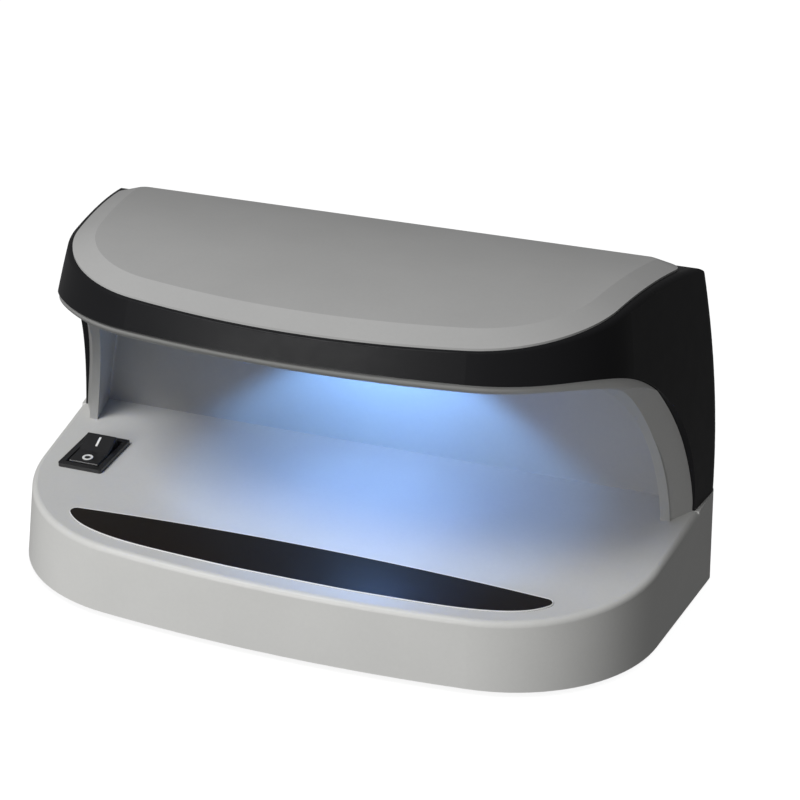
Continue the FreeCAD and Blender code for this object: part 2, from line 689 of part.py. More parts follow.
def build_bottom_cover():
    """Plate that closes the tray, with vents, foot seats, screw seats and the board's standoffs."""
    thickness = size("cover_thickness")
    inset = size("base_wall") + size("cover_gap")
    top = FOOT + thickness
    plate = push_up(outline(base_plan(FOOT), FOOT, inset), thickness)
    for x, y in BOARD_SCREWS:
        standoff = size("board_height") - FOOT - 0.5
        plate = plate.fuse(Part.makeCylinder(STANDOFF_RADIUS, standoff, Vector(x, y, FOOT + 0.5)))
    for x, y in BOARD_SCREWS:
        plate = plate.cut(Part.makeCylinder(BOARD_PILOT, size("board_height"), Vector(x, y, top + 0.5)))
    for x, y in FEET:
        plate = plate.cut(Part.makeCylinder(size("foot_radius"), size("foot_recess"), Vector(x, y, FOOT)))
    for x, y in POSTS:
        plate = plate.cut(Part.makeCylinder(COVER_CLEARANCE, 6.0, Vector(x, y, FOOT - 1.0)))
        plate = plate.cut(Part.makeCylinder(COVER_SEAT, SCREW_HEAD + 0.1, Vector(x, y, FOOT)))
    half_length, half_width = size("vent_length") / 2, size("vent_width") / 2
    for side in (-1, 1):
        for step in range(6):
            x, y = side * VENTS_ACROSS - 8.0, (step - 2.5) * size("vent_pitch") + 4.0
            slot = rounded_block(Vector(x - half_length, y - half_width, 0),
                                 Vector(x + half_length, y + half_width, top + 1.0), half_width - 0.05)
            plate = plate.cut(slot)
    return biggest_solid(plate)


def cross_screw(place, up, head_radius, shank_radius, shank_length):
    """A pan-head screw: its head's underside is at the place and its shank points up or down."""
    head = Part.makeCylinder(head_radius, SCREW_HEAD, Vector(0, 0, -SCREW_HEAD))
    head = head.makeFillet(SCREW_HEAD * 0.4, [head.Edges[2]])
    screw = head.fuse(Part.makeCylinder(shank_radius, shank_length))
    for turn in (0, 90):
        reach = head_radius * 0.6
        slot = solid_block(Vector(-reach, -0.3, -SCREW_HEAD), Vector(reach, 0.3, -0.45))
        slot.rotate(Vector(0, 0, 0), Vector(0, 0, 1), turn)
        screw = screw.cut(slot)
    if not up:
        screw.rotate(Vector(0, 0, 0), Vector(1, 0, 0), 180)
    screw.translate(place)
    return screw.Solids[0]


def screw_group(label, places, up, head_radius, shank_radius, shank_length):
    """Identical screws in one piece, one solid each."""
    screws = [cross_screw(place, up, head_radius, shank_radius, shank_length) for place in places]
    return feature(label, Part.makeCompound(screws))


feature("bottom_cover", build_bottom_cover())
screw_group("bottom_screws", [Vector(x, y, FOOT + SCREW_HEAD + 0.1) for x, y in POSTS], True, 2.6, 1.2, 8.0)

feet = []
for index, (x, y) in enumerate(FEET):
    pad = cylinder("foot_%d" % index, "Sizes.foot_radius", "Sizes.foot_height + Sizes.foot_recess",
                   Vector(x, y, 0))
    feet.append(pad)
node(combine("Compound", "feet", feet), "rubber_feet")


def deck_underside(y):
    return deck_z(y) - size("base_wall")


screw_group("hood_screws", [Vector(x, y, deck_underside(y) - 0.4) for x, y in HOOD_SCREWS],
            True, 3.0, 1.15, 9.0)
LINING_UNDERSIDE = size("ceiling_height") - size("lining_wall")
screw_group("lid_screws", [Vector(x, y, LINING_UNDERSIDE) for x, y in LID_POSTS], True, 2.6, 1.05, 7.5)


# ---------------------------------------------------------------- sketch helpers

def make_body(label):
    body = doc.addObject("PartDesign::Body", label)
    return node(body, label)


def new_sketch(body, role, name):
    """A sketch on one of the body's own origin planes."""
    sketch = body.newObject("Sketcher::SketchObject", name)
    plane = next(f for f in body.Origin.OriginFeatures if f.Role == role)
    sketch.AttachmentSupport = (plane, "")
    sketch.MapMode = "FlatFace"
    return sketch


def dimension(sketch, kind, arguments, start_value, expression):
    """Add one dimension and tie it to the sheet."""
    index = sketch.addConstraint(Sketcher.Constraint(kind, *arguments, start_value))
    sketch.setExpression("Constraints[%d]" % index, expression)


def sketch_rectangle(sketch, width, height):
    """A rectangle centred on the sketch's origin."""
    corners = [Vector(-9, -6, 0), Vector(9, -6, 0), Vector(9, 6, 0), Vector(-9, 6, 0)]
    first = sketch.GeometryCount
    for i in range(4):
        sketch.addGeometry(Part.LineSegment(corners[i], corners[(i + 1) % 4]), False)
    for i in range(4):
        sketch.addConstraint(Sketcher.Constraint("Coincident", first + i, 2, first + (i + 1) % 4, 1))
    for i in range(4):
        sketch.addConstraint(Sketcher.Constraint(("Horizontal", "Vertical")[i % 2], first + i))
    sketch.addConstraint(Sketcher.Constraint("Symmetric", first, 1, first + 2, 1, -1, 1))
    dimension(sketch, "DistanceX", (first, 1, first, 2), 18.0, width)
    dimension(sketch, "DistanceY", (first + 1, 1, first + 1, 2), 12.0, height)


def sketch_circle(sketch, centre, radius, off_x=None, off_y=None):
    """A circle; each offset from the sketch's origin is an expression, or none when it is zero."""
    index = sketch.addGeometry(Part.Circle(Vector(centre[0], centre[1], 0), Vector(0, 0, 1), 1.0), False)
    dimension(sketch, "Radius", (index,), 1.0, radius)
    for kind, expression, value in (("DistanceX", off_x, centre[0]), ("DistanceY", off_y, centre[1])):
        if expression is None:
            axis = -2 if kind == "DistanceX" else -1
            sketch.addConstraint(Sketcher.Constraint("PointOnObject", index, 3, axis))
        elif value > 0:
            dimension(sketch, kind, (-1, 1, index, 3), value, expression)
        else:
            dimension(sketch, kind, (index, 3, -1, 1), -value, expression)


def pad(body, sketch, length, symmetric=False, backwards=False):
    feature_obj = body.newObject("PartDesign::Pad", sketch.Name + "_pad")
    feature_obj.Profile = sketch
    feature_obj.setExpression("Length", length)
    if symmetric:
        feature_obj.SideType = "Symmetric"
    feature_obj.Reversed = backwards
    body.Tip = feature_obj
    doc.recompute()
    return feature_obj


def pocket(body, sketch, length, symmetric=False, backwards=False):
    """A pocket that must take material away."""
    before = body.Tip.Shape.Volume
    feature_obj = body.newObject("PartDesign::Pocket", sketch.Name + "_pocket")
    feature_obj.Profile = sketch
    feature_obj.setExpression("Length", length)
    if symmetric:
        feature_obj.SideType = "Symmetric"
    feature_obj.Reversed = backwards
    body.Tip = feature_obj
    doc.recompute()
    if feature_obj.Shape.Volume >= before:
        raise RuntimeError("%s cuts nothing" % feature_obj.Name)
    return feature_obj


def round_edges(body, radius, wanted):
    """Fillet the edges of the body's tip that a test picks."""
    base = body.Tip
    names = ["Edge%d" % (i + 1) for i, edge in enumerate(base.Shape.Edges) if wanted(edge)]
    fillet = body.newObject("PartDesign::Fillet", body.Label + "_rounding")
    fillet.Base = (base, names)
    fillet.Radius = radius
    body.Tip = fillet
    doc.recompute()
    return fillet


def runs_along(edge, direction):
    straight = edge.tangentAt(edge.FirstParameter).cross(direction).Length < 1e-6
    return straight and edge.Length > 0.5


# ---------------------------------------------------------------- rocker switch

SWITCH_PLACE = deck_placement(size("switch_x"), size("switch_y"))
PIVOT = Vector(0, 0, -size("pivot_depth"))
ROCKER_TILT = Placement(PIVOT, Rotation(Vector(1, 0, 0), size("rocker_tilt")))
ROCKER_PLACE = SWITCH_PLACE.multiply(ROCKER_TILT).multiply(Placement(-PIVOT, Rotation()))


def build_switch_housing():
    body = make_body("switch_housing")
    bezel = new_sketch(body, "XY_Plane", "bezel_outline")
    sketch_rectangle(bezel, "Sizes.bezel_width", "Sizes.bezel_length")
    pad(body, bezel, "Sizes.bezel_height")
    round_edges(body, 0.8, lambda edge: runs_along(edge, Vector(0, 0, 1)))
    case = new_sketch(body, "XY_Plane", "case_outline")
    sketch_rectangle(case, "Sizes.switch_body_width", "Sizes.switch_body_length")
    pad(body, case, "Sizes.switch_body_depth", backwards=True)
    well = new_sketch(body, "XY_Plane", "well_outline")
    sketch_rectangle(well, "Sizes.rocker_opening_width", "Sizes.rocker_opening_length")
    pocket(body, well, "Sizes.bezel_height", backwards=True)
    deep = new_sketch(body, "XY_Plane", "deep_well_outline")
    sketch_rectangle(deep, "Sizes.rocker_opening_width", "Sizes.rocker_opening_length")
    pocket(body, deep, "Sizes.rocker_well")
    bore = new_sketch(body, "YZ_Plane", "pivot_bore")
    sketch_circle(bore, (0, -1), "Sizes.pivot_radius + Sizes.pivot_clearance", None, "Sizes.pivot_depth")
    pocket(body, bore, "Sizes.pivot_length + 0.2", symmetric=True)
    body.Placement = SWITCH_PLACE


def rocker_face(side):
    """A frame on one half of the rocker's top: its Z is that half's normal."""
    middle, half = size("rocker_middle_height"), size("rocker_half_length")
    rise = size("rocker_tip_height") - middle
    share = size("mark_place") / half
    lean = math.degrees(math.atan2(rise, half))
    on_rocker = Placement(Vector(0, side * size("mark_place"), middle + share * rise),
                          Rotation(Vector(1, 0, 0), side * lean))
    return ROCKER_PLACE.multiply(on_rocker)


def build_rocker_marks():
    """The line and the ring that stand for on and off, moulded in white on the rocker's two halves."""
    bar = doc.addObject("Part::Box", "mark_bar")
    bind(bar, Length="Sizes.mark_line", Width="Sizes.mark_bar_length", Height="Sizes.mark_height")
    corner = Placement(Vector(-size("mark_line") / 2, -size("mark_bar_length") / 2, 0), Rotation())
    bar.Placement = rocker_face(1).multiply(corner)
    outer = cylinder("mark_disc", "Sizes.mark_ring_radius", "Sizes.mark_height", Vector())
    bore = cylinder("mark_bore", "Sizes.mark_ring_radius - Sizes.mark_line", "Sizes.mark_height + 1",
                    Vector(0, 0, -0.5))
    ring = combine("Cut", "mark_ring", [outer, bore])
    ring.Placement = rocker_face(-1)
    node(combine("MultiFuse", "marks", [bar, ring]), "rocker_marks")


def build_switch_rocker():
    body = make_body("switch_rocker")
    profile = new_sketch(body, "YZ_Plane", "rocker_profile")
    points = [Vector(-6.4, -2.5, 0), Vector(6.4, -2.5, 0), Vector(7.2, 3.6, 0), Vector(0, 2.1, 0),
              Vector(-7.2, 3.6, 0)]
    count = len(points)
    for i in range(count):
        profile.addGeometry(Part.LineSegment(points[i], points[(i + 1) % count]), False)
    for i in range(count):
        profile.addConstraint(Sketcher.Constraint("Coincident", i, 2, (i + 1) % count, 1))
    profile.addConstraint(Sketcher.Constraint("Symmetric", 0, 1, 0, 2, -2))
    profile.addConstraint(Sketcher.Constraint("Symmetric", 1, 2, 3, 2, -2))
    profile.addConstraint(Sketcher.Constraint("PointOnObject", 2, 2, -2))
    dimension(profile, "DistanceX", (0, 1, 0, 2), 12.8, "2 * (Sizes.rocker_half_length - 0.8)")
    dimension(profile, "DistanceX", (3, 2, 1, 2), 14.4, "2 * Sizes.rocker_half_length")
    dimension(profile, "DistanceY", (-1, 1, 1, 2), 3.6, "Sizes.rocker_tip_height")
    dimension(profile, "DistanceY", (-1, 1, 2, 2), 2.1, "Sizes.rocker_middle_height")
    dimension(profile, "DistanceY", (0, 1, -1, 1), 2.5, "Sizes.rocker_depth")
    pad(body, profile, "Sizes.rocker_width", symmetric=True)
    tip = size("rocker_middle_height") + 0.2
    round_edges(body, 0.4, lambda edge: edge.BoundBox.ZMax > tip and not edge.BoundBox.YLength < 0.5
                or edge.BoundBox.ZMin > tip)
    pin = new_sketch(body, "YZ_Plane", "pivot_pin")
    sketch_circle(pin, (0, -1), "Sizes.pivot_radius", None, "Sizes.pivot_depth")
    pad(body, pin, "Sizes.pivot_length", symmetric=True)
    body.Placement = ROCKER_PLACE
    build_rocker_marks()


def build_switch_terminals():
    """Two spade blades that stand down out of the switch's case."""
    blades = []
    for index, along in enumerate((-5.0, 5.0)):
        centre = SWITCH_PLACE.multVec(Vector(0, along, -size("switch_body_depth") - 3.5))
        blades.append(block("blade_%d" % index, "4.8", "0.8", "7.0", centre, SWITCH_PLACE.Rotation))
    node(combine("Compound", "blades", blades), "switch_terminals")


build_switch_housing()
build_switch_rocker()
build_switch_terminals()


# ---------------------------------------------------------------- power inlet

def build_inlet_housing():
    """Two-pin appliance inlet: flange, case and a figure-of-eight socket with a blind end."""
    body = make_body("inlet_housing")
    flange = new_sketch(body, "XZ_Plane", "flange_outline")
    sketch_rectangle(flange, "Sizes.flange_width", "Sizes.flange_height")
    pad(body, flange, "Sizes.flange_thickness")
    round_edges(body, 2.0, lambda edge: runs_along(edge, Vector(0, 1, 0)))
    case = new_sketch(body, "XZ_Plane", "inlet_case")
    sketch_rectangle(case, "Sizes.inlet_width", "Sizes.inlet_height")
    pad(body, case, "Sizes.inlet_depth")
    for side in (-1, 1):
        lobe = new_sketch(body, "XZ_Plane", "socket_lobe_%s" % ("left" if side < 0 else "right"))
        sketch_circle(lobe, (side * 4.3, 0), "Sizes.socket_radius", "Sizes.socket_half_spacing", None)
        pocket(body, lobe, "Sizes.socket_depth", backwards=True)
    middle = new_sketch(body, "XZ_Plane", "socket_middle")
    sketch_rectangle(middle, "2 * Sizes.socket_half_spacing", "2 * Sizes.socket_radius - 1")
    pocket(body, middle, "Sizes.socket_depth", backwards=True)
    for side in (-1, 1):
        hole = new_sketch(body, "XZ_Plane", "pin_hole_%s" % ("left" if side < 0 else "right"))
        sketch_circle(hole, (side * 4.3, 0), "Sizes.inlet_pin_radius", "Sizes.socket_half_spacing", None)
        pocket(body, hole, "Sizes.inlet_depth + 1", backwards=True)
    body.Placement = Placement(Vector(size("inlet_x"), INLET_FACE, size("inlet_z")), Rotation())


def build_inlet_pins():
    pins = []
    for index, side in enumerate((-1, 1)):
        x = size("inlet_x") + side * size("socket_half_spacing")
        place = Vector(x, INLET_FACE - 1.5, size("inlet_z"))
        pins.append(cylinder("inlet_pin_%d" % index, "Sizes.inlet_pin_radius", "Sizes.inlet_depth + 2",
                             place, Vector(0, -1, 0)))
    node(combine("Compound", "pins_of_inlet", pins), "inlet_pins")


build_inlet_housing()
build_inlet_pins()


# ---------------------------------------------------------------- lamp

def lamp_point(height):
    """A point on the lamp's axis, measured up from the lamp's mouth."""
    return Vector(size("lamp_x"), size("lamp_y"), size("lamp_mouth_z") + height)


def cone(name, lower, upper, height, base):
    """A Part cone whose radii and height are expressions."""
    obj = doc.addObject("Part::Cone", name)
    bind(obj, Radius1=lower, Radius2=upper, Height=height)
    obj.Placement = Placement(base, Rotation())
    return obj


def build_lamp():
    """Ultraviolet lamp: a can in the ceiling with a filter, a bright cup, a board and its heat sink."""
    lip = size("lamp_lip")
    flange_height = size("ceiling_height") - size("lamp_mouth_z")
    can = [cylinder("can_wall", "Sizes.lamp_radius", "Sizes.lamp_height", lamp_point(0)),
           cylinder("can_flange", "Sizes.lamp_flange_radius", "Sizes.lamp_flange_thickness",
                    lamp_point(flange_height))]
    voids = [cone("mouth_cone", "Sizes.lamp_opening", "Sizes.lamp_throat", "Sizes.lamp_lip", lamp_point(0)),
             cylinder("can_bore", "Sizes.lamp_bore", "Sizes.lamp_height", lamp_point(lip))]
    for index, (x, y) in enumerate(LAMP_SCREWS):
        place = Vector(x, y, size("ceiling_height") - 1)
        voids.append(cylinder("flange_hole_%d" % index, "1.1", "Sizes.lamp_flange_thickness + 2", place))
    can_pieces = [combine("MultiFuse", "can_solid", can), combine("MultiFuse", "can_voids", voids)]
    node(combine("Cut", "can", can_pieces), "lamp_housing")
    disc = cylinder("filter_disc", "Sizes.lamp_bore - 0.2", "Sizes.filter_thickness", lamp_point(lip))
    node(disc, "lamp_filter")

    cup_base = lip + size("filter_thickness")
    cup = [cone("cup_outside", "Sizes.cup_mouth + Sizes.cup_wall", "Sizes.cup_throat + Sizes.cup_wall",
                "Sizes.cup_height", lamp_point(cup_base)),
           cylinder("cup_rim", "Sizes.lamp_bore - 0.2", "Sizes.cup_wall", lamp_point(cup_base))]
    bore = cone("cup_inside", "Sizes.cup_mouth", "Sizes.cup_throat", "Sizes.cup_height", lamp_point(cup_base))
    node(combine("Cut", "cup", [combine("MultiFuse", "cup_solid", cup), bore]), "reflector_cup")

    board_base = cup_base + size("cup_height") + 0.2
    node(cylinder("led_disc", "Sizes.lamp_bore - 0.2", "Sizes.led_board_thickness", lamp_point(board_base)),
         "led_board")
    package = block("led_package", "3.4", "3.4", "1", lamp_point(board_base - 0.5))
    dome = doc.addObject("Part::Sphere", "led_dome")
    dome.Radius = 1.2
    dome.Placement = Placement(lamp_point(board_base - 1.3), Rotation())
    node(combine("MultiFuse", "led", [package, dome]), "uv_led")

    sink_base = board_base + size("led_board_thickness")
    sink = [cylinder("sink_disc", "Sizes.heatsink_radius", "Sizes.heatsink_base", lamp_point(sink_base))]
    fin_middle = sink_base + size("heatsink_base") + size("fin_height") / 2 - 0.05
    for index in range(5):
        centre = lamp_point(fin_middle) + Vector((index - 2) * 3.6, 0, 0)
        off_axis = abs(index - 2) * 3.6 + 0.6
        length = "%.3f" % (2 * math.sqrt(size("heatsink_radius") ** 2 - off_axis ** 2) - 0.4)
        sink.append(block("fin_%d" % index, "Sizes.fin_thickness", length, "Sizes.fin_height + 0.1", centre))
    node(combine("MultiFuse", "sink", sink), "lamp_heatsink")


build_lamp()
FLANGE_TOP = size("ceiling_height") + size("lamp_flange_thickness")
screw_group("lamp_screws", [Vector(x, y, FLANGE_TOP) for x, y in LAMP_SCREWS], False, 1.9, 0.95, 3.4)


# ---------------------------------------------------------------- circuit board

BOARD_TOP = size("board_height") + size("board_thickness")


def on_board(x, y, height=0.0):
    """A point above the board, measured from the board's middle."""
    return Vector(size("board_x") + x, size("board_y") + y, BOARD_TOP + height)


def build_circuit_board():
    body = make_body("circuit_board")
    edge = new_sketch(body, "XY_Plane", "board_outline")
    sketch_rectangle(edge, "Sizes.board_length", "Sizes.board_width")
    pad(body, edge, "Sizes.board_thickness")
    round_edges(body, 1.5, lambda e: runs_along(e, Vector(0, 0, 1)))
    for index, (side, end) in enumerate(((-1, -1), (-1, 1), (1, -1), (1, 1))):
        hole = new_sketch(body, "XY_Plane", "screw_hole_%d" % index)
        start = (side * 40.0, end * 16.0)
        sketch_circle(hole, start, "1.2", "Sizes.board_length / 2 - Sizes.board_screw_inset",
                      "Sizes.board_width / 2 - Sizes.board_screw_inset")
        pocket(body, hole, "Sizes.board_thickness + 1", backwards=True)
    body.Placement = Placement(Vector(size("board_x"), size("board_y"), size("board_height")), Rotation())


def build_board_parts():
    core = [block("core_back", "16", "3", "12", on_board(0, 5.5, 6)),
            block("core_front", "16", "3", "12", on_board(0, -5.5, 6)),
            block("core_left", "3", "14", "12", on_board(-6.5, 0, 6)),
            block("core_right", "3", "14", "12", on_board(6.5, 0, 6))]
    node(combine("MultiFuse", "core", core), "transformer_core")
    node(cylinder("winding", "3.8", "11", on_board(0, 0)), "transformer_winding")
    cans = [cylinder("can_large", "4.5", "12.5", on_board(18, 6)),
            cylinder("can_small", "3.1", "10.5", on_board(18, -7))]
    node(combine("Compound", "cans", cans), "can_capacitors")
    films = [block("film_large", "13", "6", "10", on_board(29, -11, 5)),
             block("film_small", "8", "4.5", "8", on_board(-17, -12, 4))]
    node(combine("Compound", "films", films), "film_capacitors")
    packages = [block("package_%d" % i, "8", "3", "10.5", on_board(-17 - 11 * i, 11, 5.25)) for i in range(2)]
    node(combine("Compound", "packages", packages), "power_transistors")
    rods = [cylinder("rod_%d" % i, "1.2", "6.4", on_board(-30 + 4 * i, -6, 1.2), Vector(0, 1, 0))
            for i in range(4)]
    node(combine("Compound", "rods", rods), "resistors")
    node(cylinder("cartridge", "2.5", "16", on_board(21.5, -0.7, 3.2), Vector(1, 0, 0)), "fuse")
    blocks = [block("mains_block", "12", "8", "9", on_board(32, 10, 4.5)),
              block("switch_block", "8", "12", "9", on_board(-38, 2, 4.5))]
    node(combine("Compound", "blocks", blocks), "terminal_blocks")


build_circuit_board()
build_board_parts()
screw_group("board_screws", [Vector(x, y, BOARD_TOP) for x, y in BOARD_SCREWS], False, 2.2, 0.85, 5.0)


# ---------------------------------------------------------------- wiring

WIRE_RADIUS = 0.9


def wire_tube(points, radius=WIRE_RADIUS):
    """A lead: straight runs joined by tangent arcs, each as large as its runs allow."""
    edges = []
    start = points[0]
    for before, corner, after in zip(points, points[1:], points[2:]):
        back = (before - corner).normalize()
        ahead = (after - corner).normalize()
        turn = math.pi - back.getAngle(ahead)
        shorter = min((before - corner).Length, (after - corner).Length)
        tangent = 0.45 * shorter
        bend = tangent / math.tan(turn / 2)
        first, last = corner + back * tangent, corner + ahead * tangent
        middle = corner + (back + ahead).normalize() * (bend / math.cos(turn / 2) - bend)
        edges.append(Part.LineSegment(start, first).toShape())
        edges.append(Part.Arc(first, middle, last).toShape())
        start = last
    edges.append(Part.LineSegment(start, points[-1]).toShape())
    path = Part.Wire(edges)
    direction = (points[1] - points[0]).normalize()
    section = Part.Wire([Part.Circle(points[0], direction, radius).toShape()])
    return path.makePipeShell([section], True, False)


def build_wiring():
    """Leads from the inlet and the switch to the board, and from the board up the column to the lamp."""
    inlet_back = INLET_FACE - 1.5 - size("inlet_depth") - 2.0
    mains_face = size("board_y") + 14.0
    mains = []
    for side in (-1, 1):
        x = size("inlet_x") + side * size("socket_half_spacing")
        block_x = size("board_x") + 32 + side * 3.0
        z = size("inlet_z")
        mains.append(wire_tube([Vector(x, inlet_back, z), Vector(x, inlet_back - 3.5, z),
                                Vector(block_x, mains_face + 4.0, 14.5), Vector(block_x, mains_face, 14.5)]))
    feature("mains_wires", Part.makeCompound(mains))

    switch_face = size("board_x") - 42.0
    down = SWITCH_PLACE.Rotation.multVec(Vector(0, 0, -1))
    pair = []
    for side in (-1, 1):
        blade = SWITCH_PLACE.multVec(Vector(0, side * 5.0, -size("switch_body_depth") - 7.0))
        y = size("board_y") + 2 + side * 3.0
        pair.append(wire_tube([blade, blade + down * 2.5, Vector(-66, y + side, 5.4),
                               Vector(-44, y + side * 2, 5.4), Vector(-28, y, 9.0),
                               Vector(switch_face - 4, y, 14.0), Vector(switch_face, y, 14.0)]))
    feature("switch_wires", Part.makeCompound(pair))

    column_x, column_y = WIRE_HOLE[0], REAR - 5.4
    pads_z = size("lamp_mouth_z") + size("lamp_lip") + size("filter_thickness") + size("cup_height") + 0.2 \
        + size("led_board_thickness")
    up = []
    for strand in (-1, 1):
        x = column_x + strand * 1.2
        board_x = size("board_x") - 12.0 + strand * 1.2
        board_y = size("board_y") + 16.0
        pad_x, pad_y = size("lamp_x") + strand * 2.2, size("lamp_y") + 11.6
        up.append(wire_tube([Vector(board_x, board_y, BOARD_TOP), Vector(board_x, board_y, BOARD_TOP + 5),
                             Vector(board_x - 2, 33.0, 16.0 + strand), Vector(x, column_y - 4, 22.0 + strand),
                             Vector(x, column_y, 32.0), Vector(x, column_y - 0.4, 60.0),
                             Vector(x, column_y, 90.0),
                             Vector(x + 1, column_y - 5, 98.0), Vector(pad_x - 2, 28.0, 97.5),
                             Vector(pad_x, pad_y, 101.5), Vector(pad_x, pad_y, pads_z + 0.02)]))
    feature("lamp_wires", Part.makeCompound(up))


build_wiring()


# ---------------------------------------------------------------- check and write the pieces

doc.recompute()
os.makedirs("parts", exist_ok=True)
for obj in doc.Objects:
    if "Invalid" in obj.State or "Error" in obj.State:
        raise RuntimeError("%s failed: %s" % (obj.Label, obj.State))
for piece in NODES:
    if piece.Shape.isNull() or not piece.Shape.isValid():
        raise RuntimeError("%s has no valid shape" % piece.Label)
for piece in NODES:
    piece.Shape.exportStep("parts/%s.step" % piece.Label)
    box = piece.Shape.optimalBoundingBox()
    print("%-20s %2d solids %8.0f mm3  x %6.1f %6.1f  y %6.1f %6.1f  z %6.1f %6.1f" % (
        piece.Label, len(piece.Shape.Solids), piece.Shape.Volume, box.XMin, box.XMax,
        box.YMin, box.YMax, box.ZMin, box.ZMax))
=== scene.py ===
"""Looks of the ultraviolet note checker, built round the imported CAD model."""
import math

import bmesh
import bpy
from mathutils import Matrix, Vector


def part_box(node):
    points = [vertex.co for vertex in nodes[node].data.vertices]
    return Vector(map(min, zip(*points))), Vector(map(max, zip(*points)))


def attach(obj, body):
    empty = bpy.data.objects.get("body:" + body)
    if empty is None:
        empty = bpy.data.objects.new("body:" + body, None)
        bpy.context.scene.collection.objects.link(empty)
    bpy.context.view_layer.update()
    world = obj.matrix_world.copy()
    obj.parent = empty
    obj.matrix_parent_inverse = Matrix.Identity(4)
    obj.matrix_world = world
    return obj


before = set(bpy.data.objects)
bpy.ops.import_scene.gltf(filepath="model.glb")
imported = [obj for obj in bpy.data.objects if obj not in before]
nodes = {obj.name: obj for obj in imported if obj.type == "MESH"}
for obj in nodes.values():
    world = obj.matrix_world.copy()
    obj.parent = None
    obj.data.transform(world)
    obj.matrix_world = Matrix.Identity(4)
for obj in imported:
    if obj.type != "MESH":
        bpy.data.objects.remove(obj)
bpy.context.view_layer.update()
scene = bpy.context.scene


# ------------------------------------------------------------------ camera

EYE = (0.17214, -0.48249, 0.27074)
AZIMUTH, ELEVATION, ROLL = 17.746, 22.206, 2.605
LENS_MM, SENSOR_MM = 83.761, 36.0


def make_camera():
    data = bpy.data.cameras.new("camera")
    data.lens = LENS_MM
    data.sensor_width = SENSOR_MM
    data.clip_start = 0.01
    camera = bpy.data.objects.new("camera", data)
    scene.collection.objects.link(camera)
    turn = (Matrix.Rotation(math.radians(AZIMUTH), 4, "Z")
            @ Matrix.Rotation(math.radians(90 - ELEVATION), 4, "X")
            @ Matrix.Rotation(math.radians(ROLL), 4, "Z"))
    camera.matrix_world = Matrix.Translation(EYE) @ turn
    scene.camera = camera


make_camera()


# ------------------------------------------------------------------ light and floor

def add_light(name, kind, power, place=(0, 0, 0), target=None):
    data = bpy.data.lights.new(name, kind)
    data.energy = power
    light = bpy.data.objects.new(name, data)
    scene.collection.objects.link(light)
    light.location = place
    if target:
        light.rotation_euler = (Vector(target) - Vector(place)).to_track_quat("-Z", "Y").to_euler()
    return light


def area_light(name, place, target, width, height, power):
    light = add_light(name, "AREA", power, place, target)
    light.data.shape = "RECTANGLE"
    light.data.size, light.data.size_y = width, height
    return light


def shape_spot(light, cone, blend, radius):
    """Set a spot's full cone in degrees, the softness of its edge and the size of its source."""
    light.data.spot_size = math.radians(cone)
    light.data.spot_blend = blend
    light.data.shadow_soft_size = radius


def link_light(light, objects, state):
    """Keep a light off some objects, or on them alone."""
    linked = bpy.data.collections.new(light.name + "_links")
    for number, obj in enumerate(objects):
        linked.objects.link(obj)
        linked.collection_objects[number].light_linking.link_state = state
    light.light_linking.receiver_collection = linked
    if state == "INCLUDE":
        light.light_linking.blocker_collection = linked


WORLD_STRENGTH = 0.15
FLOOR_REACH = 6.0


def build_world():
    world = bpy.data.worlds.new("studio")
    world.use_nodes = True
    background = world.node_tree.nodes["Background"]
    background.inputs["Color"].default_value = (1.0, 1.0, 1.0, 1.0)
    background.inputs["Strength"].default_value = WORLD_STRENGTH
    scene.world = world


def build_floor():
    """A white floor that shows to the camera and throws no light back on the object."""
    mesh = bpy.data.meshes.new("floor")
    grid = bmesh.new()
    signs = ((-1, -1), (1, -1), (1, 1), (-1, 1))
    grid.faces.new([grid.verts.new((x * FLOOR_REACH, y * FLOOR_REACH, 0.0)) for x, y in signs])
    grid.to_mesh(mesh)
    grid.free()
    floor = bpy.data.objects.new("floor", mesh)
    scene.collection.objects.link(floor)
    material = bpy.data.materials.new("floor_white")
    material.use_nodes = True
    shader = material.node_tree.nodes["Principled BSDF"]
    shader.inputs["Base Color"].default_value = (0.93, 0.93, 0.93, 1.0)
    shader.inputs["Roughness"].default_value = 0.9
    shader.inputs["Specular IOR Level"].default_value = 0.1
    mesh.materials.append(material)
    floor.visible_diffuse = False
    floor.visible_glossy = False
    return floor


def build_studio_lights(floor):
    """A key and a fill for the object, a snoot for the hood's right leg and a sun for the floor alone."""
    key = area_light("key", (-0.52, -0.86, 1.40), (0, 0, 0.05), 0.6, 0.6, 17.0)
    link_light(key, [floor], "EXCLUDE")
    fill = area_light("fill", (-0.50, -1.50, 0.38), (0, 0, 0.04), 0.8, 0.5, 12.5)
    fill.data.specular_factor = 0.15
    link_light(fill, [floor, nodes["hood_lining"]], "EXCLUDE")
    snoot = add_light("leg_snoot", "SPOT", 4.4, (0.05, -0.85, 0.13), (0.10, 0.0, 0.055))
    shape_spot(snoot, 14, 1.0, 0.05)
    link_light(snoot, [nodes["hood_lining"]], "INCLUDE")
    sun = add_light("floor_sun", "SUN", 3.1)
    sun.data.angle = math.radians(60)
    link_light(sun, [floor], "INCLUDE")


build_world()
build_studio_lights(build_floor())

BEAM_COLOUR = (0.23, 0.49, 1.0)
BEAM_CONE = 2 * 53.0
BELOW_FILTER = 0.0008


def build_beam(name, power, across, objects, state):
    """A cone of violet-blue light leaving the lamp's filter, from a share of the way across it."""
    low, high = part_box("lamp_filter")
    place = (low.x + (high.x - low.x) * across, (low.y + high.y) / 2, low.z - BELOW_FILTER)
    beam = add_light(name, "SPOT", power, place)
    beam.rotation_euler = (math.radians(9), math.radians(-2), 0)
    beam.data.color = BEAM_COLOUR
    beam.data.specular_factor = 0.15
    shape_spot(beam, BEAM_CONE, 0.3, 0.002)
    link_light(beam, objects, state)


